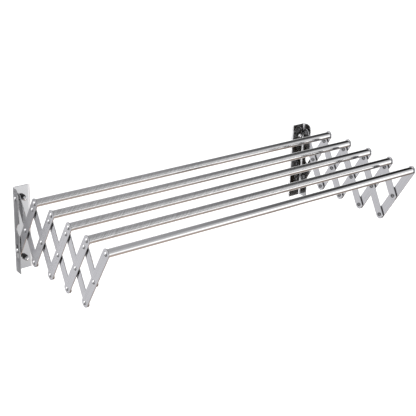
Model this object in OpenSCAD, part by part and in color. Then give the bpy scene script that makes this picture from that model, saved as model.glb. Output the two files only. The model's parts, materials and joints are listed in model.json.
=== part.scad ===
// Wall-mounted pull-out drying rack: two pressed wall brackets carry two scissor arms of flat
// bar, and the arms carry a row of hanging tubes that push back flat against the wall.
// Millimetres. X runs along the wall, the wall is the plane y = 0, the rack stands out towards
// -Y and Z is up. The origin is the middle of the four wall studs, on the wall.

/* [Rack] */
// Width over the outer faces of the two brackets
rack_width = 770; // [500:10:1200]
// Number of scissor stages, each with one hanging tube
stages = 5; // [2:1:5]
// Angle of the links above the horizontal: 52 is pulled right out, 80 is pushed back
rest_angle = 60; // [52:1:80]

/* [Links] */
// Distance between the end pivots of a link
link_pitch = 131; // [125:1:135]
// Width of the flat bar
link_width = 20; // [16:1:20]
// Thickness of the flat bar
link_thick = 2; // [1.5:0.5:3]
// Thickness of the washers between the links
washer_thick = 1; // [0.8:0.1:1.5]
// Outer diameter of the washers between the links
washer_d = 10; // [9:0.5:12]

/* [Tubes] */
// Outer diameter of the hanging tubes
tube_d = 16; // [12:1:19]
// Wall thickness of the hanging tubes
tube_wall = 1; // [0.8:0.1:1.5]
// Gap between a tube and the round end of the cross link beside it
tube_gap = 1; // [0.5:0.5:3]
// Length of the plug pressed into each tube end
plug_length = 14; // [10:1:30]

/* [Rivets] */
// Diameter of the link rivets
rivet_d = 5; // [4:0.5:6]
// Diameter of a link rivet's domed head
rivet_head_d = 9; // [7:0.5:10]
// Height of every domed head
head_height = 2.6; // [1.2:0.1:3]
// Diameter of the pins that slide in the bracket slots
slot_pin_d = 6; // [5:0.5:7]
// Diameter of a slot pin's domed head
slot_head_d = 10; // [9:0.5:12]
// Diameter of the domed heads of the tube screws
tube_screw_head_d = 10; // [8:0.5:11]

/* [Brackets] */
// Height of a bracket
bracket_height = 183; // [180:1:220]
// Width of the plate that lies on the wall
plate_width = 39; // [34:1:60]
// Depth of the flange that stands out from the wall
flange_depth = 24; // [23:0.5:26]
// Thickness of the bracket sheet
sheet = 2; // [1.5:0.5:3]
// Outside radius of the bend
bend_radius = 6; // [4:0.5:6]
// Radius of the plate's free edge, on the side that faces the room
edge_radius = 1.5; // [0.5:0.25:1.5]
// Radius of the flange's upper front corner
corner_radius = 12; // [6:1:20]
// Distance from the bracket's top edge down to the top pivot
pivot_drop = 20; // [15:1:25]
// Distance from the wall out to the line of the pivots
pivot_out = 14; // [13:0.5:15]
// Link angle at which the slot stops the rack when it is pulled out
out_angle = 51.8; // [51:0.1:52]
// Link angle at which the slot stops the rack when it is pushed back
in_angle = 80.5; // [80:0.1:80.5]

/* [Wall fixing] */
// Distance from a bracket's ends to its stud holes
stud_inset = 25; // [20:1:40]
// Distance from a bracket's outer face in to its stud holes
stud_side = 22; // [18:1:28]
// Diameter of the wall studs over the thread that goes into the wall
stud_d = 6; // [5.5:0.5:6]
// Diameter of a stud's nut end, half way up its thread
stud_thread_d = 5.35; // [4.5:0.05:5.35]
// Length of stud behind the wall's surface
stud_depth = 15; // [10:1:40]
// Width of the dome nuts across their flats
nut_flats = 10; // [9:1:13]
// Height of the hexagon of a dome nut
nut_hex_height = 5; // [4:0.5:6]
// Height of the round neck between the hexagon and the dome
nut_neck_height = 2.5; // [1:0.5:4]
// Height of the dome on top of the neck
nut_dome_height = 4.5; // [3:0.5:4.5]
// Diameter of the washers under the dome nuts
stud_washer_d = 12; // [12:1:18]
// Thickness of the washers under the dome nuts
stud_washer_thick = 1.6; // [1:0.2:2]

/* [Hidden] */
left = -1;
right = 1;
sides = [left, right];
$fn = 64;

// Clearances: round a pin, between faces that turn on each other, and at the ends of the slot
bore_gap = 0.05;
face_gap = 0.05;
slot_gap = 0.2;
stud_hole_gap = 0.3;
plug_gap = 0.02;
// How far the parts of one solid run into each other
bite = 0.5;

// Link geometry at rest
reach = link_pitch * cos(rest_angle);
drop = link_pitch * sin(rest_angle);
tube_reach = link_width / 2 + tube_d / 2 + tube_gap;
long_length = link_pitch + tube_reach;

// Layers on one side, measured inwards from the bracket's outer face
long_at = sheet + washer_thick;
cross_at = long_at + link_thick + washer_thick;
inner_head_at = cross_at + link_thick + face_gap;
tube_at = long_at + link_thick;
tube_length = rack_width - 2 * tube_at;

// Bracket geometry
pivot_up = bracket_height / 2 - pivot_drop;
slot_top = pivot_up - link_pitch * sin(out_angle);
slot_bottom = pivot_up - link_pitch * sin(in_angle);
slot_r = slot_pin_d / 2 + slot_gap;
notch_r = 14;
notch_up = pivot_up - link_pitch / 2;
notch_out = flange_depth + 3;
stud_up = bracket_height / 2 - stud_inset;

// Wall studs
stud_tip = 1;
stud_tip_d = 4.4;
stud_end = 5;
nut_bore_depth = 6;
nut_dome_d = nut_flats - 0.6;
spacer_d = 9;

// Every stage, numbered out from the wall
all_stages = [1 : stages];

// Pivots in side view, as [height, distance out from the wall]: stage k runs from k - 1 to k
function upper_pivot(k) = [pivot_up, pivot_out + k * reach];
function lower_pivot(k) = [pivot_up - drop, pivot_out + k * reach];
function middle_pivot(k) = [pivot_up - drop / 2, pivot_out + (k - 0.5) * reach];
function tube_centre(k) =
    upper_pivot(k) + tube_reach * [sin(rest_angle), cos(rest_angle)];

// Pivots where the long link of stage k is riveted to a cross link
function riveted_pivots(k) = concat(
    [middle_pivot(k)],
    k > 1 ? [lower_pivot(k - 1)] : [],
    k < stages ? [upper_pivot(k)] : []
);

// A side view set up at one end of the rack: x is up, y is out from the wall, z runs inwards
module at_side(side) {
    translate([side * rack_width / 2, 0, 0])
        mirror([side == right ? 1 : 0, 0, 0])
            rotate([180, -90, 0])
                children();
}

// The same at both ends
module at_both_sides() {
    for (side = sides) at_side(side) children();
}

// Cap of a sphere standing on z = 0
module dome(d, height) {
    ball_r = (d * d / 4 + height * height) / (2 * height);
    intersection() {
        translate([0, 0, height - ball_r]) sphere(r = ball_r);
        cylinder(d = d, h = height);
    }
}

module ring(outer_d, inner_d, height) {
    difference() {
        cylinder(d = outer_d, h = height);
        translate([0, 0, -1]) cylinder(d = inner_d, h = height + 2);
    }
}

// Shank between two faces, with a domed head outside each
module rivet(shank_d, head_d, outer_face, inner_face) {
    translate([0, 0, outer_face - bite])
        cylinder(d = shank_d, h = inner_face - outer_face + 2 * bite);
    translate([0, 0, outer_face]) mirror([0, 0, 1]) dome(head_d, head_height);
    translate([0, 0, inner_face]) dome(head_d, head_height);
}

// Flat bar with round ends about [0, 0] and [length, 0], drilled at each distance in holes
module link_bar(length, holes) {
    linear_extrude(link_thick)
        difference() {
            union() {
                translate([0, -link_width / 2]) square([length, link_width]);
                for (end = [0, length]) translate([end, 0]) circle(d = link_width);
            }
            for (at = holes) translate([at, 0]) circle(d = rivet_d + 2 * bore_gap);
        }
}

// What is cut away to round a corner whose arc is centred on the origin
module corner_cut(r) {
    difference() {
        square(r + 1);
        circle(r = r);
    }
}

// Plan of the bracket's sheet, with x inwards along the wall and y out from it
module bracket_plan() {
    translate([bend_radius, 0])
        difference() {
            square([plate_width - bend_radius, sheet]);
            translate([plate_width - bend_radius - edge_radius, sheet - edge_radius]) corner_cut(edge_radius);
        }
    translate([0, bend_radius]) square([sheet, flange_depth - bend_radius]);
    translate([bend_radius, bend_radius])
        intersection() {
            difference() {
                circle(r = bend_radius);
                circle(r = bend_radius - sheet);
            }
            translate([-bend_radius, -bend_radius]) square(bend_radius);
        }
}

// Everything cut from the flange, in side view
module flange_cuts() {
    translate([pivot_up, pivot_out]) circle(d = rivet_d + 2 * bore_gap);
    for (up = [slot_top, slot_bottom]) translate([up, pivot_out]) circle(r = slot_r);
    translate([slot_bottom, pivot_out - slot_r]) square([slot_top - slot_bottom, 2 * slot_r]);
    translate([notch_up, notch_out]) circle(r = notch_r);
    translate([bracket_height / 2 - corner_radius, flange_depth - corner_radius]) corner_cut(corner_radius);
}

module bracket(side) {
    color([0.72, 0.72, 0.74])
        at_side(side)
            difference() {
                rotate([0, -90, 180])
                    mirror([0, 1, 0])
                        linear_extrude(bracket_height, center = true) bracket_plan();
                translate([0, 0, -1]) linear_extrude(sheet + 2) flange_cuts();
                for (up = [-stud_up, stud_up])
                    translate([up, -1, stud_side])
                        rotate([-90, 0, 0])
                            cylinder(d = stud_d + 2 * stud_hole_gap, h = sheet + 2);
            }
}

// One copy at each of the four studs, with z out from the wall
module at_studs() {
    for (side = sides, up = [-stud_up, stud_up])
        translate([side * (rack_width / 2 - stud_side), 0, up])
            rotate([90, 0, 0])
                children();
}

// Studs for threaded wall anchors. The anchor's end is drawn over its thread and the nut's end
// half way up it, so that the washers and nuts go on over the nut's end.
module wall_studs() {
    color([0.6, 0.6, 0.62])
        at_studs() {
            translate([0, 0, stud_tip - stud_depth])
                cylinder(d = stud_d, h = stud_depth - stud_tip);
            translate([0, 0, -stud_depth])
                cylinder(d1 = stud_tip_d, d2 = stud_d, h = stud_tip);
            translate([0, 0, -bite])
                cylinder(d = stud_thread_d, h = bite + sheet + stud_washer_thick + stud_end);
        }
}

module wall_stud_washers() {
    color([0.7, 0.7, 0.72])
        at_studs()
            translate([0, 0, sheet])
                ring(stud_washer_d, stud_d + stud_hole_gap, stud_washer_thick);
}

module wall_dome_nuts() {
    color([0.75, 0.75, 0.77])
        at_studs()
            translate([0, 0, sheet + stud_washer_thick])
                difference() {
                    union() {
                        cylinder(d = nut_flats / cos(30), h = nut_hex_height, $fn = 6);
                        translate([0, 0, nut_hex_height]) cylinder(d = nut_dome_d, h = nut_neck_height);
                        translate([0, 0, nut_hex_height + nut_neck_height])
                            dome(nut_dome_d, nut_dome_height);
                    }
                    translate([0, 0, -1])
                        cylinder(d = stud_thread_d + 2 * bore_gap, h = nut_bore_depth + 1);
                }
}

module top_pivot_rivets() {
    color([0.8, 0.8, 0.82])
        at_both_sides()
            translate([pivot_up, pivot_out, 0])
                rivet(rivet_d, rivet_head_d, 0, inner_head_at);
}

// Tube that holds the first cross link off the flange
module top_pivot_spacers() {
    color([0.7, 0.7, 0.72])
        at_both_sides()
            translate([pivot_up, pivot_out, sheet])
                ring(spacer_d, rivet_d + 2 * bore_gap, cross_at - sheet - face_gap);
}

// Pins at the foot of the first long links, free to slide in the bracket slots
module slot_pins() {
    at = lower_pivot(0);
    color([0.8, 0.8, 0.82])
        at_both_sides()
            translate([at[0], at[1], 0]) {
                rivet(rivet_d, slot_head_d, -face_gap, tube_at);
                translate([0, 0, -face_gap])
                    cylinder(d = slot_pin_d, h = long_at + face_gap);
            }
}

module slot_washers() {
    at = lower_pivot(0);
    color([0.7, 0.7, 0.72])
        at_both_sides()
            translate([at[0], at[1], sheet + face_gap])
                ring(slot_head_d, slot_pin_d + 2 * bore_gap, washer_thick - face_gap);
}

module tube(k) {
    at = tube_centre(k);
    color([0.82, 0.82, 0.84])
        translate([-tube_length / 2, -at[1], at[0]])
            rotate([0, 90, 0])
                ring(tube_d, tube_d - 2 * tube_wall, tube_length);
}

module tube_plugs(k) {
    at = tube_centre(k);
    color([0.15, 0.15, 0.16])
        at_both_sides()
            translate([at[0], at[1], tube_at])
                ring(tube_d - 2 * tube_wall - 2 * plug_gap, rivet_d + 2 * bore_gap, plug_length);
}

// Screws through the tips of the long links into the tube plugs
module tube_screws(k) {
    at = tube_centre(k);
    color([0.8, 0.8, 0.82])
        at_both_sides()
            translate([at[0], at[1], long_at]) {
                mirror([0, 0, 1]) dome(tube_screw_head_d, head_height);
                translate([0, 0, -bite])
                    cylinder(d = rivet_d, h = bite + link_thick + plug_length - 2);
            }
}

// Long link of stage k: foot pivot, middle pivot, upper pivot and, past that, the tube
module long_link(k, side) {
    at = lower_pivot(k - 1);
    upper = k < stages ? [link_pitch] : [];
    color([0.7, 0.7, 0.72])
        at_side(side)
            translate([at[0], at[1], long_at])
                rotate(90 - rest_angle)
                    link_bar(long_length, concat([0, link_pitch / 2, long_length], upper));
}

// Cross link of stage k, from the upper pivot down and out: the last one ends at the middle
module cross_link(k, side) {
    at = upper_pivot(k - 1);
    length = k < stages ? link_pitch : link_pitch / 2;
    foot = k < stages ? [link_pitch] : [];
    color([0.66, 0.66, 0.68])
        at_side(side)
            translate([at[0], at[1], cross_at])
                rotate(90 + rest_angle)
                    link_bar(length, concat([0, link_pitch / 2], foot));
}

module link_rivets(k) {
    color([0.8, 0.8, 0.82])
        at_both_sides()
            for (at = riveted_pivots(k))
                translate([at[0], at[1], 0])
                    rivet(rivet_d, rivet_head_d, long_at, inner_head_at);
}

module link_washers(k) {
    color([0.6, 0.6, 0.62])
        at_both_sides()
            for (at = riveted_pivots(k))
                translate([at[0], at[1], tube_at])
                    ring(washer_d, rivet_d + 2 * bore_gap, washer_thick - face_gap);
}

bracket(left);  // left_bracket
bracket(right);  // right_bracket
wall_studs();
wall_stud_washers();
wall_dome_nuts();
top_pivot_rivets();
top_pivot_spacers();
slot_pins();
slot_washers();
for (k = all_stages) {
    tube(k);
    tube_plugs(k);
    tube_screws(k);
    long_link(k, left);
    long_link(k, right);
    cross_link(k, left);
    cross_link(k, right);
    link_rivets(k);
    link_washers(k);
}
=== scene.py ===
"""Looks of a wall-mounted pull-out drying rack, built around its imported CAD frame. Metres throughout."""

import json
import math

import bmesh
import bpy
from mathutils import Matrix, Vector

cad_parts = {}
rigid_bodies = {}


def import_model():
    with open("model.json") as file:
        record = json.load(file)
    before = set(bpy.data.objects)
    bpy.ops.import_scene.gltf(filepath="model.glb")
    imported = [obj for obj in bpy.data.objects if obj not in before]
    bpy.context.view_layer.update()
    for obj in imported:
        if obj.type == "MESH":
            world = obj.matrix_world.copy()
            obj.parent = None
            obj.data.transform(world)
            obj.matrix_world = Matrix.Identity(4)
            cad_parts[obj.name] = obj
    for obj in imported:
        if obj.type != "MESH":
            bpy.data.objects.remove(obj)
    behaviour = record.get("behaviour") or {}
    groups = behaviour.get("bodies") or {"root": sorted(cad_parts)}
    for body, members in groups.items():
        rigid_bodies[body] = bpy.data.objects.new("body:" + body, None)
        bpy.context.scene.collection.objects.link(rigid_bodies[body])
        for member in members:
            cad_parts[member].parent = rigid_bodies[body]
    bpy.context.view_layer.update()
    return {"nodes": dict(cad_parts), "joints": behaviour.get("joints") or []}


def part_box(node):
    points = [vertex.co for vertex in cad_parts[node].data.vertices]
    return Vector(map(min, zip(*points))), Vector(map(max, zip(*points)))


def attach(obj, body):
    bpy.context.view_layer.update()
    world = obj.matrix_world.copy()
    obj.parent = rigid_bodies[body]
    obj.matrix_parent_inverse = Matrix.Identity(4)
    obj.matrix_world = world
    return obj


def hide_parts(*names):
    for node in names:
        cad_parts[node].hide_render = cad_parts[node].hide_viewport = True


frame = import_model()

MM = 0.001
SIDES = ("left", "right")

# ---------------------------------------------------------------- sizes

# What the boxes of the CAD nodes don't tell
SHEET = 2 * MM
SHEET_EDGE = 0.4 * MM
BEND_OUTSIDE = 6 * MM
FREE_EDGE_FALL = 1.5 * MM
FREE_EDGE_WIDTH = 4.5 * MM
BLANK_CORNER = 0.8 * MM
FLANGE_CORNER = 12 * MM
NOTCH_RADIUS = 14 * MM
NOTCH_CENTRE_OUTSIDE = 3 * MM
SLOT_PIN_RADIUS = 3 * MM
SLOT_CLEARANCE = 0.2 * MM
SLOT_WASHER_BORE = 3.05 * MM
STUD_HOLE_RADIUS = 3.3 * MM
STUD_WASHER_BORE = 3.15 * MM
LINK_EDGE = 0.35 * MM
BORE_RADIUS = 2.55 * MM
RIVET_RADIUS = 2.5 * MM
HEAD_HEIGHT = 2.6 * MM  # rolled tails are as high
TUBE_WALL = 1 * MM
NUT_HEXAGON = 5 * MM
NUT_NECK = 2.5 * MM
HOLE_SEGMENTS = 28

# Point attributes that the materials follow. The last two run from 0 to 1.
OWN_AXES = "own_axes"
# The second marks real polishing on the tubes and rougher worked metal on the brackets, and painted light
# too: painted shade on the rolled rivet tails and a painted highlight on the brackets' bends and free
# edges.
WORKED_AND_PAINTED_LIGHT = "worked_and_painted_light"
# The third marks the brackets' flanges for painted shade.
FLANGE_SHADE = "flange"
# Each piece takes its patterns from a place of its own, this far along X from the one before
PATTERN_STEP = 1.37

pivot = {joint["name"]: Vector(joint["pos_m"]) for joint in frame["joints"]}
top = pivot["rack_fold"]
middle_height = pivot["middle_pivot_1"].z
lower_height = 2 * middle_height - top.z
reach = top.y - pivot["left_upper_pivot_1"].y
pitch = math.hypot(reach, top.z - lower_height)
rest_angle = math.asin((top.z - lower_height) / pitch)
stages = [k for k in range(1, 9) if f"tube_{k}" in frame["nodes"]]


def middle_of(node):
    low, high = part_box(node)
    return (low + high) / 2


def inward(side):
    """Direction along X from a bracket's outer face to the middle of the rack."""
    return 1 if side == "left" else -1


def upper_pivot(k):
    return Vector((0, top.y - k * reach, top.z))


def lower_pivot(k):
    return Vector((0, top.y - k * reach, lower_height))


def solids(node):
    """(lowest corner, highest corner) of each separate solid of a CAD node."""
    bm = bmesh.new()
    bm.from_mesh(frame["nodes"][node].data)
    bmesh.ops.remove_doubles(bm, verts=bm.verts, dist=0.001 * MM)
    left, boxes = set(bm.verts), []
    while left:
        found, edge = set(), [left.pop()]
        while edge:
            vert = edge.pop()
            found.add(vert)
            for other in (e.other_vert(vert) for e in vert.link_edges):
                if other in left:
                    left.remove(other)
                    edge.append(other)
        low = Vector(min(v.co[i] for v in found) for i in range(3))
        high = Vector(max(v.co[i] for v in found) for i in range(3))
        boxes.append((low, high))
    bm.free()
    return sorted(boxes, key=lambda box: tuple(round(c, 5) for c in box[0]))


# ---------------------------------------------------------------- mesh tools


def axes(origin, x, z):
    """Matrix that puts local X and Z along two world directions at right angles."""
    x, z = Vector(x).normalized(), Vector(z).normalized()
    y = z.cross(x)
    return Matrix.Translation(origin) @ Matrix((x, y, z)).transposed().to_4x4()


def arc(centre, radius, start, end, steps):
    """Points on an arc, in degrees, both ends included."""
    angles = [math.radians(start + (end - start) * i / steps) for i in range(steps + 1)]
    return [(centre[0] + radius * math.cos(a), centre[1] + radius * math.sin(a)) for a in angles]


def circle(centre, radius, steps=40):
    return arc(centre, radius, 0, 360, steps)[:-1]


def rounded(points, radius, steps=4, closed=False):
    """The same outline with its corners eased by quadratic curves."""
    out = []
    for i, point in enumerate(points):
        p = Vector(point)
        if not closed and i in (0, len(points) - 1):
            out.append(p)
            continue
        before = Vector(points[i - 1]) - p
        after = Vector(points[(i + 1) % len(points)]) - p
        r = min(radius, before.length * 0.49, after.length * 0.49)
        a, b = p + before.normalized() * r, p + after.normalized() * r
        for j in range(steps + 1):
            t = j / steps
            out.append(a * (1 - t) ** 2 + p * (2 * t * (1 - t)) + b * t**2)
    return [tuple(p) for p in out]


def skin(bm, rings, closed=False):
    """Faces between rings of vertices with the same count, or with a single pole at an end."""
    pairs = list(zip(rings, rings[1:], strict=False))
    if closed:
        pairs.append((rings[-1], rings[0]))
    for low, high in pairs:
        count = max(len(low), len(high))
        for i in range(count):
            j = (i + 1) % count
            corners = low[i % len(low)], low[j % len(low)], high[j % len(high)], high[i % len(high)]
            bm.faces.new(list(dict.fromkeys(corners)))


def turned_ring(bm, place, along, radius, segments):
    """One ring about local Z. radius and along may be functions of the angle."""
    if not callable(radius) and radius < 1e-9:
        return [bm.verts.new(place @ Vector((0, 0, along)))]
    ring = []
    for i in range(segments):
        a = 2 * math.pi * i / segments
        r = radius(a) if callable(radius) else radius
        h = along(a) if callable(along) else along
        ring.append(bm.verts.new(place @ Vector((r * math.cos(a), r * math.sin(a), h))))
    return ring


def lathe(bm, place, profile, segments=40, closed=False):
    """Turns (along, radius) points about local Z: closed makes a ring of a closed profile."""
    skin(bm, [turned_ring(bm, place, h, r, segments) for h, r in profile], closed)


def dome_profile(height, radius, steps=9, rim=0.22 * MM):
    """Domed head on the plane along = 0, from its crown over a rounded rim to a narrower foot."""
    ball = ((radius - rim) ** 2 + (height - rim) ** 2) / (2 * (height - rim))
    spread = math.asin((radius - rim) / ball)
    crown = [(height - ball + ball * math.cos(a), ball * math.sin(a))
             for a in (spread * i / steps for i in range(steps + 1))]
    edge = [(rim + rim * math.sin(a), radius - rim + rim * math.cos(a))
            for a in (math.pi / 2 * (1 - i / 4) for i in range(1, 5))]
    return crown + edge + [(0.04 * MM, radius - 0.02 * MM), (0, radius - 0.15 * MM)]


def tail_profile(height, radius, steps=12):
    """Rolled-over rivet tail on the plane along = 0: a half-round collar about a dimple."""
    crest, half_width = 0.72 * radius, 0.28 * radius
    collar = [(height * math.sin(a), crest + half_width * math.cos(a))
              for a in (math.radians(170) * i / steps for i in range(steps + 1))]
    return collar + [(0.08 * height, 0.3 * radius), (0.04 * height, 0)]


def mitres(loop, solid_on_left):
    """For each point of a closed loop, the step into the solid that insets the loop by 1."""
    steps = []
    for i, point in enumerate(loop):
        p = Vector(point)
        a = (p - Vector(loop[i - 1])).normalized()
        b = (Vector(loop[(i + 1) % len(loop)]) - p).normalized()
        turn = 1 if solid_on_left else -1
        na, nb = Vector((-a.y, a.x)) * turn, Vector((-b.y, b.x)) * turn
        # the limit keeps the step short at a sharp corner
        steps.append((na + nb) / max(1 + na.dot(nb), 0.3))
    return steps


def plate(bm, outline, holes, thickness, edge, steps=3):
    """Sheet between z = 0 and z = thickness with eased rims. The outline runs anticlockwise."""
    quarter = [math.pi / 2 * i / steps for i in range(steps + 1)]
    low = [(edge * (1 - math.sin(t)), edge * (1 - math.cos(t))) for t in quarter]
    levels = low + [(inset, thickness - z) for inset, z in reversed(low)]
    caps = [[], []]
    for loop, is_outline in [(outline, True)] + [(hole, False) for hole in holes]:
        steps_in = mitres(loop, is_outline)
        rings = [
            [bm.verts.new((x + s.x * inset, y + s.y * inset, z))
             for (x, y), s in zip(loop, steps_in, strict=True)]
            for inset, z in levels
        ]
        skin(bm, rings)
        for cap, ring in zip(caps, (rings[0], rings[-1]), strict=True):
            cap += [bm.edges.get((ring[i - 1], ring[i])) for i in range(len(ring))]
    for cap in caps:
        bmesh.ops.triangle_fill(bm, use_beauty=True, edges=cap)


def keep_own_axes(mesh, shift):
    """Stores each point's place along the piece's own axes, for the materials' patterns to follow."""
    own = mesh.attributes.new(OWN_AXES, "FLOAT_VECTOR", "POINT")
    for stored, vert in zip(own.data, mesh.vertices, strict=True):
        stored.vector = vert.co + Vector((shift, 0, 0))


def piece(name, bm, material, body, replaced, place=None, sharp=38):
    """Makes the bmesh a finished object that rides on a body and stands for CAD nodes."""
    bmesh.ops.recalc_face_normals(bm, faces=bm.faces)
    mesh = bpy.data.meshes.new(name)
    bm.to_mesh(mesh)
    bm.free()
    keep_own_axes(mesh, PATTERN_STEP * len(bpy.data.objects))
    if place is not None:
        mesh.transform(place)
    mesh.materials.append(material)
    mesh.shade_smooth()
    mesh.set_sharp_from_angle(angle=math.radians(sharp))
    obj = bpy.data.objects.new(name, mesh)
    bpy.context.scene.collection.objects.link(obj)
    weighted = obj.modifiers.new("flat_faces_first", "WEIGHTED_NORMAL")
    weighted.keep_sharp = True
    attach(obj, body)
    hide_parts(*replaced)
    return obj


# ---------------------------------------------------------------- materials


class Recipe:
    """A material's node tree, with short calls to add nodes and join them."""

    def __init__(self, name, own_axes=True):
        self.material = bpy.data.materials.new(name)
        self.material.use_nodes = True
        self.tree = self.material.node_tree
        self.shader = next(n for n in self.tree.nodes if n.type == "BSDF_PRINCIPLED")
        if own_axes:
            self.coordinates = self.attribute(OWN_AXES).outputs["Vector"]
        else:
            self.coordinates = self.add("ShaderNodeTexCoord").outputs["Object"]

    def attribute(self, name):
        return self.add("ShaderNodeAttribute", attribute_type="GEOMETRY", attribute_name=name)

    def marked(self, name):
        """From 0 to 1, how far a point attribute marks the place. 0 on a mesh without it."""
        return self.attribute(name).outputs["Fac"]

    def add(self, kind, inputs=None, **settings):
        node = self.tree.nodes.new(kind)
        for key, value in settings.items():
            setattr(node, key, value)
        for key, value in (inputs or {}).items():
            self.feed(node.inputs[key], value)
        return node

    def feed(self, socket, value):
        if isinstance(value, bpy.types.NodeSocket):
            self.tree.links.new(value, socket)
        else:
            socket.default_value = value

    def set(self, **sockets):
        """Feeds the shader. Underscores in a name stand for spaces."""
        for key, value in sockets.items():
            self.feed(self.shader.inputs[key.replace("_", " ")], value)
        return self.material

    def math(self, operation, *values, clamp=False):
        node = self.add("ShaderNodeMath", operation=operation, use_clamp=clamp)
        for socket, value in zip(node.inputs, values, strict=False):
            self.feed(socket, value)
        return node.outputs[0]

    def noise(self, scale, stretch=(1, 1, 1), detail=4.0, roughness=0.55, turn=(0, 0, 0), at=None):
        """Noise from 0 to 1, scale per metre, in the piece's own axes or at other coordinates."""
        scales = tuple(scale * s for s in stretch)
        mapped = self.add(
            "ShaderNodeMapping", {"Vector": at or self.coordinates, "Scale": scales, "Rotation": turn}
        )
        node = self.add(
            "ShaderNodeTexNoise",
            {"Vector": mapped.outputs[0], "Scale": 1.0, "Detail": detail, "Roughness": roughness},
        )
        return node.outputs["Fac"]

    def remap(self, value, low, high, to_low, to_high):
        node = self.add(
            "ShaderNodeMapRange",
            {"Value": value, "From Min": low, "From Max": high, "To Min": to_low, "To Max": to_high},
        )
        return node.outputs[0]

    def full(self, noise, to_low=0, to_high=1):
        """Noise seldom leaves 0.3 to 0.7. This takes that span to another."""
        return self.remap(noise, 0.3, 0.7, to_low, to_high)

    def blend(self, factor, first, second):
        node = self.add("ShaderNodeMix", data_type="RGBA")
        self.feed(node.inputs[0], factor)
        self.feed(node.inputs[6], (*first, 1) if isinstance(first, tuple) else first)
        self.feed(node.inputs[7], (*second, 1) if isinstance(second, tuple) else second)
        return node.outputs[2]

    def bump(self, height, depth, strength=1.0):
        node = self.add("ShaderNodeBump", {"Height": height, "Distance": depth, "Strength": strength})
        return node.outputs[0]

    def axis(self, index):
        return self.add("ShaderNodeSeparateXYZ", {"Vector": self.coordinates}).outputs[index]

    def twisted(self, lead):
        """Own axes wound about local X, one turn in each lead: straight lines become helices."""
        angle = self.math("MULTIPLY", self.axis(0), 2 * math.pi / lead)
        node = self.add("ShaderNodeVectorRotate", {"Vector": self.coordinates, "Angle": angle},
                        rotation_type="X_AXIS")
        return node.outputs[0]


def brushed_bar():
    """Bright flat bar: long grain lines, handling smudges, and rims rubbed brighter."""
    m = Recipe("brushed_bar")
    grain = m.noise(1.0, (9, 2600, 2600), detail=5, roughness=0.7)
    coarse = m.noise(1.0, (3, 420, 420), detail=2)
    smudge = m.noise(38, detail=3)
    across = m.math("ABSOLUTE", m.axis(1))
    # the bar's rims are 10 mm from its middle line
    rubbed = m.remap(across, 8.8 * MM, 9.9 * MM, 0.0, 1.0)
    lines = m.math("ADD", m.math("MULTIPLY", grain, 0.6), m.math("MULTIPLY", coarse, 0.4))
    colour = m.blend(m.full(lines), (0.43, 0.427, 0.438), (0.53, 0.527, 0.538))
    colour = m.blend(m.math("MULTIPLY", rubbed, 0.5), colour, (0.62, 0.62, 0.63))
    rough = m.math("ADD", m.full(lines, 0.12, 0.08), m.remap(smudge, 0.35, 0.7, 0, 0.04))
    rough = m.math("SUBTRACT", rough, m.math("MULTIPLY", rubbed, 0.03))
    return m.set(Base_Color=colour, Metallic=1.0, Roughness=rough, Normal=m.bump(grain, 0.004 * MM))


def polished_sheet():
    """Mirror-bright pressed sheet: upright grain, haze, hairlines. The flange is painted darker grey,
    painted shade; where worked the sheet is rougher and painted lighter, a painted highlight.
    """
    m = Recipe("polished_sheet")
    worked_and_painted_light = m.marked(WORKED_AND_PAINTED_LIGHT)
    grain = m.noise(1.0, (1800, 1800, 14), detail=4, roughness=0.65)
    haze = m.noise(30, detail=4)
    scratch = m.noise(1.0, (700, 700, 60), detail=1, turn=(0.35, 0.25, 0))
    fine = m.math("GREATER_THAN", scratch, 0.68)
    colour = m.blend(m.full(grain), (0.55, 0.55, 0.56), (0.59, 0.59, 0.60))
    # Painted shade: the flange is painted a darker grey than the rest of the same sheet.
    colour = m.blend(m.marked(FLANGE_SHADE), colour, (0.38, 0.38, 0.385))
    # Painted highlight: the bend and the free edge are painted lighter; their extra roughness is the
    # worked metal's own.
    colour = m.blend(worked_and_painted_light, colour, (0.90, 0.90, 0.91))
    rough = m.math("ADD", m.remap(haze, 0.35, 0.7, 0.06, 0.13), m.math("MULTIPLY", fine, 0.06))
    rough = m.math("ADD", rough, m.math("MULTIPLY", worked_and_painted_light, 0.38))
    return m.set(Base_Color=colour, Metallic=1.0, Roughness=rough, Normal=m.bump(grain, 0.002 * MM))


def polished_tube(name, marks):
    """Tube polished on a belt: streaks wound round it, of the given strength, that fade to one end."""
    m = Recipe(name)
    broad = m.noise(1.0, (36, 640, 640), detail=3, roughness=0.6, at=m.twisted(64 * MM))
    fine = m.noise(1.0, (40, 1500, 1500), detail=3, roughness=0.6, at=m.twisted(-60 * MM))
    smudge = m.noise(26, (0.35, 1, 1), detail=4)
    streak = m.remap(broad, 0.38, 0.62, 0.0, 1.0)
    tone = m.math("ADD", m.math("MULTIPLY", streak, 0.7), m.math("MULTIPLY", fine, 0.3))
    strength = m.remap(m.marked(WORKED_AND_PAINTED_LIGHT), 0.05, 0.5, 0.2 * marks, marks)
    streaked = m.blend(tone, (0.51, 0.51, 0.51), (0.75, 0.75, 0.76))
    colour = m.blend(strength, (0.69, 0.69, 0.70), streaked)
    rough = m.remap(smudge, 0.35, 0.72, 0.05, 0.10)
    worn = m.math("MULTIPLY", m.math("SUBTRACT", 1.0, tone), strength)
    rough = m.math("ADD", rough, m.math("MULTIPLY", worn, 0.05))
    height = m.math("MULTIPLY", tone, strength)
    return m.set(Base_Color=colour, Metallic=1.0, Roughness=rough, Normal=m.bump(height, 0.05 * MM))


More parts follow.
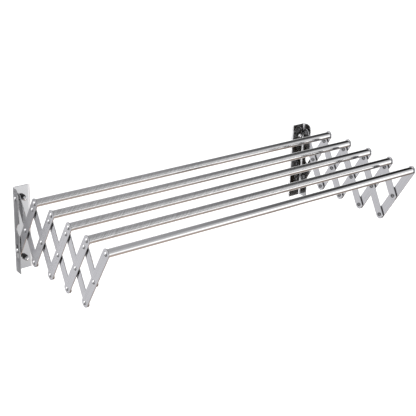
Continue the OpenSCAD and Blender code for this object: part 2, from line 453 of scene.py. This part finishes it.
def turned_steel(name, dark, light, rough_low, rough_high, tail=None):
    """Small turned or headed part: cloudy tone, tiny pits, varied polish. Rolled tails may be painted
    darker, painted shade.
    """
    m = Recipe(name)
    cloud = m.noise(420, detail=4)
    pits = m.noise(2600, detail=2)
    colour = m.blend(m.full(cloud), dark, light)
    rough = m.full(cloud, rough_high, rough_low)  # the lighter, the smoother
    # Painted shade: the rolled tails are painted darker.
    if tail:
        colour = m.blend(m.marked(WORKED_AND_PAINTED_LIGHT), colour, tail)
    return m.set(Base_Color=colour, Metallic=1.0, Roughness=rough, Normal=m.bump(pits, 0.004 * MM))


def nut_steel():
    """Dome nut: a polished dome on a hexagon and neck that are painted near black, painted shade."""
    m = Recipe("nut_steel")
    cloud = m.noise(420, detail=4)
    dome_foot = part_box("wall_dome_nuts")[1].y - NUT_HEXAGON - NUT_NECK
    # Painted shade: the hexagon and neck are painted near black.
    dark = m.remap(m.axis(1), dome_foot, dome_foot + 0.6 * MM, 0, 1)
    polished = m.blend(m.full(cloud), (0.74, 0.74, 0.75), (0.82, 0.82, 0.83))
    colour = m.blend(dark, polished, (0.045, 0.044, 0.042))
    rough = m.math("ADD", m.full(cloud, 0.12, 0.05), m.math("MULTIPLY", dark, 0.12))
    return m.set(Base_Color=colour, Metallic=1.0, Roughness=rough,
                 Normal=m.bump(m.noise(2600, detail=2), 0.004 * MM))


def plug_plastic():
    m = Recipe("plug_plastic", own_axes=False)
    cloud = m.noise(300, detail=3)
    colour = m.blend(cloud, (0.02, 0.02, 0.022), (0.05, 0.05, 0.052))
    return m.set(Base_Color=colour, Roughness=m.full(cloud, 0.5, 0.65),
                 Normal=m.bump(m.noise(2400, detail=2), 0.01 * MM))


BAR = brushed_bar()
SHEET_STEEL = polished_sheet()
# The tail colour is painted shade on the rolled rivet tails.
RIVET_STEEL = turned_steel("rivet_steel", (0.60, 0.60, 0.61), (0.68, 0.68, 0.69), 0.07, 0.15,
                           tail=(0.24, 0.24, 0.245))
# The washers' darker tone is painted shade for the gaps between the links.
WASHER_STEEL = turned_steel("washer_steel", (0.30, 0.30, 0.31), (0.40, 0.40, 0.41), 0.30, 0.42)
STUD_STEEL = turned_steel("stud_steel", (0.12, 0.12, 0.118), (0.18, 0.18, 0.176), 0.24, 0.38)
NUT_STEEL = nut_steel()
PLUG = plug_plastic()
TUBE_MARKED = polished_tube("marked_tube", 1.0)
TUBE_SMOOTH = polished_tube("smooth_tube", 0.15)


# ---------------------------------------------------------------- links


def bar_outline(length, radius, steps=20):
    """Bar with round ends, from 0 to length along x between the ends' centres."""
    return arc((0, 0), radius, 90, 270, steps) + arc((length, 0), radius, -90, 90, steps)


def link(side, kind, k):
    """One flat bar, along local X from its first pivot, with local Z facing inwards."""
    node = f"{side}_{kind}_link_{k}"
    low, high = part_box(node)
    is_long, is_last = kind == "long", k == stages[-1]
    tube = middle_of(f"tube_{k}") - lower_pivot(k - 1)
    length = math.hypot(tube.y, tube.z) if is_long else pitch / (2 if is_last else 1)
    rise = math.sin(rest_angle) * (1 if is_long else -1)
    out = math.cos(rest_angle)
    width = (high.y - low.y) - length * out
    start = lower_pivot(k - 1) if is_long else upper_pivot(k - 1)
    holes = [0, pitch / 2, length] + ([] if is_last else [pitch])
    bores = [circle((at, 0), BORE_RADIUS, HOLE_SEGMENTS) for at in sorted(set(holes))]
    bm = bmesh.new()
    plate(bm, bar_outline(length, width / 2), bores, high.x - low.x, LINK_EDGE)
    start.x = low.x if side == "left" else high.x
    place = axes(start, (0, -out, rise), (inward(side), 0, 0))
    body = f"long_links_{k}" if is_long else f"{side}_cross_{k}"
    piece(f"{side}_{kind}_bar_{k}", bm, BAR, body, [node], place)


for k in stages:
    for side in SIDES:
        link(side, "long", k)
        link(side, "cross", k)


# ---------------------------------------------------------------- tubes


def hanging_tube(k):
    node = f"tube_{k}"
    low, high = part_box(node)
    radius, length = (high.z - low.z) / 2, high.x - low.x
    bore, ease = radius - TUBE_WALL, 0.4 * MM
    bm = bmesh.new()
    profile = rounded([(0, bore), (0, radius), (length, radius), (length, bore)], ease, closed=True)
    lathe(bm, Matrix.Identity(4), profile, segments=96, closed=True)
    # local X along the tube, so that the polishing marks wind round it
    bmesh.ops.rotate(bm, verts=bm.verts, matrix=Matrix.Rotation(math.pi / 2, 3, "Y"))
    # the marks are strongest at the left end
    worked_and_painted_light = bm.verts.layers.float.new(WORKED_AND_PAINTED_LIGHT)
    for vert in bm.verts:
        vert[worked_and_painted_light] = 1 - vert.co.x / length
    place = Matrix.Translation((low.x, (low.y + high.y) / 2, (low.z + high.z) / 2))
    material = TUBE_SMOOTH if k == stages[-1] else TUBE_MARKED
    piece(f"hanging_tube_{k}", bm, material, f"long_links_{k}", [node], place)


for k in stages:
    hanging_tube(k)


# ---------------------------------------------------------------- rivets, screws, pins and washers


def along_x(low, high):
    """Local Z from the outer end of a solid that lies along X to its inner end."""
    from_left = low.x < 0
    start = low.x if from_left else high.x
    centre = (low + high) / 2
    return axes((start, centre.y, centre.z), (0, 0, 1), (1 if from_left else -1, 0, 0))


def headed(length, head, rolled):
    """Profile of a domed head and its shank, with a rolled tail of the head's size or an eased end."""
    crown = [(HEAD_HEIGHT - h, r) for h, r in dome_profile(HEAD_HEIGHT, head)]
    if not rolled:
        shank = [(HEAD_HEIGHT, RIVET_RADIUS), (length, RIVET_RADIUS), (length, 0)]
        return crown + rounded(shank, 0.5 * MM)
    end = length - HEAD_HEIGHT
    tail = [(end + h, r) for h, r in tail_profile(HEAD_HEIGHT, head)]
    return crown + [(HEAD_HEIGHT, RIVET_RADIUS), (end, RIVET_RADIUS)] + tail


def rivet(length, radius):
    return headed(length, radius, rolled=True)


def screw(length, radius):
    return headed(length, radius, rolled=False)


def washer(bore, ease=0.25 * MM):
    def profile(length, radius):
        corners = [(0, bore), (0, radius), (length, radius), (length, bore)]
        return rounded(corners, ease, steps=3, closed=True)
    return profile


def group(name, node, material, body, make_profile, closed=False, segments=40):
    """One piece for all the turned solids of a node, each from its box, with inner ends marked, where
    rivet tails get painted shade.
    """
    bm = bmesh.new()
    worked_and_painted_light = bm.verts.layers.float.new(WORKED_AND_PAINTED_LIGHT)
    for low, high in solids(node):
        length, radius = high.x - low.x, (high.z - low.z) / 2
        lathe(bm, along_x(low, high), make_profile(length, radius), segments, closed)
        inner = high.x if low.x < 0 else low.x
        for vert in bm.verts:
            if abs(vert.co.x - inner) < HEAD_HEIGHT:
                vert[worked_and_painted_light] = 1
    piece(name, bm, material, body, [node])


def rivet_group(name, node, body, make_profile=rivet):
    group(name, node, RIVET_STEEL, body, make_profile)


def washer_group(name, node, body, bore=BORE_RADIUS):
    group(name, node, WASHER_STEEL, body, washer(bore), closed=True)


for k in stages:
    rivet_group(f"rivets_{k}", f"link_rivets_{k}", f"long_links_{k}")
    washer_group(f"washers_{k}", f"link_washers_{k}", f"long_links_{k}")
    rivet_group(f"end_screws_{k}", f"tube_screws_{k}", f"long_links_{k}", screw)
    plugs = frame["nodes"][f"tube_plugs_{k}"]
    plugs.data.materials.clear()
    plugs.data.materials.append(PLUG)

rivet_group("top_rivets", "top_pivot_rivets", "wall_frame")
washer_group("top_spacers", "top_pivot_spacers", "wall_frame")
rivet_group("sliding_pins", "slot_pins", "long_links_1")
washer_group("slot_rings", "slot_washers", "long_links_1", SLOT_WASHER_BORE)


# ---------------------------------------------------------------- brackets


class Blank:
    """A bracket's sheet before it is folded. Its x runs from the wall plate's free edge, its y up."""

    def __init__(self, side):
        low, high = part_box(f"{side}_bracket")
        self.side = side
        self.width, self.depth, height = high - low
        self.half = height / 2
        self.outer = low.x if side == "left" else high.x
        self.bend = math.pi / 2 * (BEND_OUTSIDE - SHEET / 2)
        self.fold = self.width - BEND_OUTSIDE
        self.end = self.on_flange(self.depth)

    def on_flange(self, out):
        """Blank x of a place on the flange, from its distance to the wall."""
        return self.fold + self.bend + out - BEND_OUTSIDE

    def folded(self, s, up, depth_in):
        """Where a point of the blank, some depth into the sheet, comes to lie."""
        if s <= self.fold:
            across, out = self.width - s, depth_in
        elif s >= self.fold + self.bend:
            across, out = depth_in, BEND_OUTSIDE + s - self.fold - self.bend
        else:
            angle, r = (s - self.fold) / self.bend * math.pi / 2, BEND_OUTSIDE - depth_in
            across, out = BEND_OUTSIDE - r * math.sin(angle), BEND_OUTSIDE - r * math.cos(angle)
        return self.outer + inward(self.side) * across, -out, up


def blank_outline(blank):
    """Three crisp corners, a round one at the top of the flange, and the notch in the flange's edge."""
    end, half, lead = blank.end, blank.half, 8 * MM
    half_mouth = math.degrees(math.acos(NOTCH_CENTRE_OUTSIDE / NOTCH_RADIUS))
    notch_centre = (blank.on_flange(blank.depth + NOTCH_CENTRE_OUTSIDE), top.z - pitch / 2)
    return (
        rounded([(end - lead, -half), (end, -half), (end, -half + lead)], BLANK_CORNER)
        + arc(notch_centre, NOTCH_RADIUS, 180 + half_mouth, 180 - half_mouth, 20)
        + arc((end - FLANGE_CORNER, half - FLANGE_CORNER), FLANGE_CORNER, 0, 90, 12)
        + rounded([(lead, half), (0, half), (0, half - lead)], BLANK_CORNER)
        + rounded([(0, -half + lead), (0, -half), (lead, -half)], BLANK_CORNER)
    )


def stud_places(blank):
    """Distance of the stud holes in from the bracket's outer face, and up or down from the middle."""
    on_left = blank.side == "left"
    low, high = next(box for box in solids("wall_studs") if (box[0].x < 0) == on_left and box[0].z > 0)
    return abs((low.x + high.x) / 2 - blank.outer), (low.z + high.z) / 2


def blank_holes(blank):
    """The slot that the pin travels in, the top pivot's bore and the two stud holes."""
    pin_x, slot_radius = blank.on_flange(-top.y), SLOT_PIN_RADIUS + SLOT_CLEARANCE
    fold_joint = next(j for j in frame["joints"] if j["name"] == "rack_fold")
    travel = [top.z - pitch * math.sin(rest_angle + math.radians(a)) for a in fold_joint["range_deg"]]
    slot_ends = [arc((pin_x, z), slot_radius, start, start + 180, 14)
                 for z, start in zip(travel, (0, 180), strict=True)]
    pivot_bore = circle((pin_x, top.z), BORE_RADIUS, HOLE_SEGMENTS)
    stud_x, stud_z = stud_places(blank)
    studs = [circle((blank.width - stud_x, z), STUD_HOLE_RADIUS, HOLE_SEGMENTS)
             for z in (stud_z, -stud_z)]
    return [slot_ends[0] + slot_ends[1], pivot_bore] + studs


def cut_for_folding(bm, blank, edge_cuts=7, bend_cuts=12):
    """Cuts the mesh along upright lines wherever the sheet will curve, closest at the free edge."""
    cuts = [FREE_EDGE_WIDTH * (1 - math.cos(math.pi / 2 * i / edge_cuts))
            for i in range(2, edge_cuts + 1)]
    cuts += [blank.fold + blank.bend * i / bend_cuts for i in range(bend_cuts + 1)]
    for cut in cuts:
        geometry = bm.verts[:] + bm.edges[:] + bm.faces[:]
        bmesh.ops.bisect_plane(bm, geom=geometry, plane_co=(cut, 0, 0), plane_no=(1, 0, 0))


def bracket(side):
    """Cuts the blank out, marks the bend and the free edge for rougher metal with a painted highlight and
    the flange for painted shade, rounds the free edge and folds.
    """
    blank = Blank(side)
    bm = bmesh.new()
    plate(bm, blank_outline(blank), blank_holes(blank), SHEET, SHEET_EDGE)
    cut_for_folding(bm, blank)
    worked_and_painted_light, on_flange = (bm.verts.layers.float.new(mark) for mark in (WORKED_AND_PAINTED_LIGHT, FLANGE_SHADE))
    for vert in bm.verts:
        s, up, depth_in = vert.co
        # marked fully along the middle half of the bend and the outer half of the free edge's fall:
        # rougher metal with a painted highlight
        into_bend = min(s - blank.fold, blank.fold + blank.bend - s) / blank.bend
        vert[worked_and_painted_light] = min(1, max(0, 4 * into_bend, 2 - 2 * s / FREE_EDGE_WIDTH))
        # The flange is marked for painted shade.
        vert[on_flange] = 1 if s >= blank.fold + blank.bend else 0
        if s < FREE_EDGE_WIDTH:
            fall = FREE_EDGE_FALL * (1 - math.sqrt(1 - (1 - s / FREE_EDGE_WIDTH) ** 2))
            depth_in *= 1 - fall / SHEET
        vert.co = blank.folded(s, up, depth_in)
    piece(f"{side}_wall_bracket", bm, SHEET_STEEL, "wall_frame", [f"{side}_bracket"])


for side in SIDES:
    bracket(side)


# ---------------------------------------------------------------- wall fixings


def out_from_wall(low, high):
    """Local Z from the wall outwards, starting at the solid's wall end."""
    centre = (low + high) / 2
    return axes((centre.x, high.y, centre.z), (0, 0, 1), (0, -1, 0))


def dome_nuts():
    """Hexagon with both rims turned back, a round neck and a dome, bored from the wall's side."""
    half_flats, hexagon, neck, round_radius = 5 * MM, NUT_HEXAGON, NUT_NECK, 4.7 * MM
    bore, bore_depth = 2.7 * MM, 6 * MM
    chamfer_from, slope, neck_foot = 4.85 * MM, math.tan(math.radians(30)), 0.1 * MM
    dome_steps, segments = 14, 72

    def corner_radius(angle):
        return half_flats / math.cos((angle + math.pi / 6) % (math.pi / 3) - math.pi / 6)

    def cut_back(angle):
        return max(corner_radius(angle) - chamfer_from, 0) * slope

    bm = bmesh.new()
    for low, high in solids("wall_dome_nuts"):
        place = out_from_wall(low, high)
        height = high.y - low.y
        dome = dome_profile(height - hexagon - neck, round_radius, dome_steps, rim=0.01 * MM)
        crown = [(hexagon + neck + h, r) for h, r in dome[dome_steps::-1]]
        rings = [
            turned_ring(bm, place, bore_depth, 0, segments),
            turned_ring(bm, place, bore_depth, bore, segments),
            turned_ring(bm, place, 0, bore, segments),
            turned_ring(bm, place, 0, chamfer_from, segments),
            turned_ring(bm, place, cut_back, corner_radius, segments),
            turned_ring(bm, place, lambda a: hexagon - cut_back(a), corner_radius, segments),
            turned_ring(bm, place, hexagon, chamfer_from, segments),
            turned_ring(bm, place, hexagon, round_radius + neck_foot, segments),
            turned_ring(bm, place, hexagon + neck_foot, round_radius, segments),
        ]
        rings += [turned_ring(bm, place, h, r, segments) for h, r in crown]
        skin(bm, rings)
    piece("dome_nuts", bm, NUT_STEEL, "wall_frame", ["wall_dome_nuts"], sharp=25)


def nut_washers():
    bm = bmesh.new()
    bore, ease = STUD_WASHER_BORE, 0.35 * MM
    for low, high in solids("wall_stud_washers"):
        thick, radius = high.y - low.y, (high.z - low.z) / 2
        profile = rounded([(0, bore), (0, radius), (thick, radius), (thick, bore)], ease, closed=True)
        lathe(bm, out_from_wall(low, high), profile, segments=48, closed=True)
    piece("nut_washers", bm, STUD_STEEL, "wall_frame", ["wall_stud_washers"])


def threaded_studs():
    """Studs for wall anchors: machine thread behind the wall, and a plain neck up into the nut."""
    lead, depth, chamfer = 1 * MM, 0.55 * MM, 1 * MM
    neck, neck_chamfer = 2.675 * MM, 0.5 * MM
    segments, rings_per_turn = 24, 8
    bm = bmesh.new()
    for low, high in solids("wall_studs"):
        behind, front = high.y, -low.y
        radius = (high.x - low.x) / 2
        rings = []
        count = round(behind / lead * rings_per_turn)
        for i in range(count + 1):
            h = behind * i / count

            def thread(angle, h=h):
                phase = (h / lead - angle / (2 * math.pi)) % 1
                # flat at the crest for a fifth of the lead, and sharp at the root
                crest = min(1.0, max(0.0, 1.25 - abs(phase - 0.5) * 2.5))
                start = radius - max(0.0, chamfer - h)
                return min(radius - depth + depth * crest, start)

            rings.append(turned_ring(bm, out_from_wall(low, high), h, thread, segments))
        rings.insert(0, turned_ring(bm, out_from_wall(low, high), 0, 0, segments))
        for h, r in ((behind, neck), (behind + front - neck_chamfer, neck),
                     (behind + front, neck - neck_chamfer), (behind + front, 0)):
            rings.append(turned_ring(bm, out_from_wall(low, high), h, r, segments))
        skin(bm, rings)
    piece("threaded_studs", bm, STUD_STEEL, "wall_frame", ["wall_studs"])


dome_nuts()
nut_washers()
threaded_studs()


# ---------------------------------------------------------------- camera, light and floor


def camera():
    place = (-1.225, -1.746, 0.882)
    yaw, pitch_down, roll = math.radians(37.29), math.radians(23.36), math.radians(2.12)
    level = Vector((math.sin(yaw), math.cos(yaw), 0))
    ahead = level * math.cos(pitch_down) - Vector((0, 0, math.sin(pitch_down)))
    turn = Matrix.Rotation(-roll, 3, ahead)
    data = bpy.data.cameras.new("camera")
    data.sensor_width = 36
    data.lens = 90
    data.clip_end = 60
    obj = bpy.data.objects.new("camera", data)
    obj.matrix_world = axes(place, turn @ Vector((level.y, -level.x, 0)), turn @ -ahead)
    bpy.context.scene.collection.objects.link(obj)
    bpy.context.scene.camera = obj


def floor():
    """Pale disc well below the rack."""
    radius, drop = 30, 1.1
    m = Recipe("pale_floor", own_axes=False)
    tone = m.noise(3, detail=3)
    material = m.set(Base_Color=m.blend(tone, (0.88, 0.88, 0.88), (0.91, 0.91, 0.91)),
                     Roughness=m.full(tone, 0.7, 0.85))
    bm = bmesh.new()
    lathe(bm, Matrix.Identity(4), [(0, 0), (0, radius)], segments=96)
    mesh = bpy.data.meshes.new("floor")
    bm.to_mesh(mesh)
    bm.free()
    mesh.materials.append(material)
    obj = bpy.data.objects.new("floor", mesh)
    obj.location = (0, 0, -drop)
    # the metal reflects the studio's panels below as well, and not the floor
    obj.visible_glossy = False
    bpy.context.scene.collection.objects.link(obj)


# Soft panels of the studio: direction, degrees from it where full and where gone, and colour.
# Later ones lie over earlier ones.
AMBIENT = (0.50, 0.50, 0.51)
PANELS = [
    ((1, 0, 0), 46, 62, (0.02, 0.02, 0.02)),
    ((1, 0, 0), 20, 34, (0.70, 0.70, 0.71)),
    ((0.55, 0.74, -0.39), 22, 48, (1.3, 1.3, 1.3)),
    ((0.5, -0.2, -0.85), 14, 44, (0.60, 0.48, 0.41)),
    ((0.85, -0.1, -0.5), 8, 32, (0.22, 0.17, 0.14)),
    ((0.84, -0.5, 0.22), 8, 37, (0.95, 0.95, 0.96)),
    ((0.67, -0.725, -0.18), 2, 27, (1.8, 1.8, 1.8)),
    ((-0.7, 0.6, -0.3), 36, 62, (1.05, 1.05, 1.08)),
    ((-0.75, 0.35, 0.55), 20, 40, (2.0, 2.0, 2.0)),
    ((-0.1, -0.94, -0.33), 10, 32, (2.2, 2.2, 2.2)),
    ((-0.85, -0.28, -0.45), 14, 26, (0.03, 0.025, 0.02)),
    ((-0.2, 0.36, -0.9), 22, 38, (0.06, 0.055, 0.05)),
]


def studio():
    """Pale to the camera. To reflections, a grey room with soft bright and dark panels."""
    world = bpy.data.worlds.new("studio")
    world.use_nodes = True
    bpy.context.scene.world = world
    nodes, links = world.node_tree.nodes, world.node_tree.links
    nodes.clear()
    direction = nodes.new("ShaderNodeTexCoord").outputs["Generated"]
    colour = nodes.new("ShaderNodeRGB").outputs[0]
    colour.default_value = (*AMBIENT, 1)
    for towards, full, gone, tone in PANELS:
        facing = nodes.new("ShaderNodeVectorMath")
        facing.operation = "DOT_PRODUCT"
        facing.inputs[1].default_value = Vector(towards).normalized()
        links.new(direction, facing.inputs[0])
        cover = nodes.new("ShaderNodeMapRange")
        cover.interpolation_type = "SMOOTHSTEP"
        cover.inputs["From Min"].default_value = math.cos(math.radians(gone))
        cover.inputs["From Max"].default_value = math.cos(math.radians(full))
        links.new(facing.outputs["Value"], cover.inputs["Value"])
        panel = nodes.new("ShaderNodeMix")
        panel.data_type = "RGBA"
        links.new(cover.outputs[0], panel.inputs[0])
        links.new(colour, panel.inputs[6])
        panel.inputs[7].default_value = (*tone, 1)
        colour = panel.outputs[2]
    room, pale = nodes.new("ShaderNodeBackground"), nodes.new("ShaderNodeBackground")
    links.new(colour, room.inputs["Color"])
    pale.inputs["Color"].default_value = (1, 1, 1, 1)
    mix = nodes.new("ShaderNodeMixShader")
    links.new(nodes.new("ShaderNodeLightPath").outputs["Is Camera Ray"], mix.inputs[0])
    links.new(room.outputs[0], mix.inputs[1])
    links.new(pale.outputs[0], mix.inputs[2])
    links.new(mix.outputs[0], nodes.new("ShaderNodeOutputWorld").inputs[0])


def floor_light():
    """Soft light from straight above that whitens the floor. The metal doesn't mirror it."""
    data = bpy.data.lights.new("floor_light", "SUN")
    data.energy = 2.4
    data.angle = math.radians(60)
    obj = bpy.data.objects.new("floor_light", data)
    obj.location = (0, 0, 3)
    obj.visible_glossy = False
    bpy.context.scene.collection.objects.link(obj)


def card(name, seen_in, turned_axes, distance, half_width, half_height, tone, solid):
    """Card beside the rack that only reflections see. It darkens the faces about the point seen_in.

    The line from the camera to that point, turned back along the given axes, leads on to the card.
    The card is solid over the given share of its width and height, and thins out to its rims."""
    m = Recipe(name, own_axes=False)
    weave = m.noise(900, detail=2)
    light = tuple(1.2 * c for c in tone)
    fades = [m.remap(m.math("ABSOLUTE", m.axis(i)), solid * half, half, 1.0, 0.0)
             for i, half in ((0, half_width), (2, half_height))]
    material = m.set(Base_Color=m.blend(weave, tone, light), Roughness=m.full(weave, 0.85, 0.95),
                     Specular_IOR_Level=0.0, Alpha=m.math("MULTIPLY", *fades))
    reflected = (seen_in - bpy.context.scene.camera.matrix_world.translation).normalized()
    for axis in turned_axes:
        reflected[axis] *= -1
    centre = seen_in + reflected * distance
    corners = [(-1, -1), (1, -1), (1, 1), (-1, 1)]
    bm = bmesh.new()
    bm.faces.new([bm.verts.new((i * half_width, 0, j * half_height)) for i, j in corners])
    mesh = bpy.data.meshes.new(name)
    bm.to_mesh(mesh)
    bm.free()
    mesh.materials.append(material)
    obj = bpy.data.objects.new(name, mesh)
    obj.location = centre
    for ray in ("camera", "diffuse", "shadow", "transmission", "volume_scatter"):
        setattr(obj, f"visible_{ray}", False)
    bpy.context.scene.collection.objects.link(obj)


def cards():
    """Two dark ones for the right bracket: its plate, and the corner where plate and flange meet.

    The grey one is for the left flange and the links beside it."""
    right = middle_of("right_bracket")
    card("plate_card", right, turned_axes=(1,), distance=0.26,
         half_width=0.06, half_height=0.125, tone=(0.012, 0.009, 0.007), solid=0.85)
    card("flange_card", right, turned_axes=(0, 1), distance=0.35,
         half_width=0.045, half_height=0.12, tone=(0.03, 0.025, 0.02), solid=0.85)
    left_flange = middle_of("left_bracket")
    left_flange.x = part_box("left_bracket")[0].x
    card("link_card", left_flange, turned_axes=(0,), distance=0.18,
         half_width=0.10, half_height=0.28, tone=(0.41, 0.41, 0.42), solid=0.1)


camera()
floor()
studio()
floor_light()
cards()
bpy.context.scene.view_settings.view_transform = "Standard"
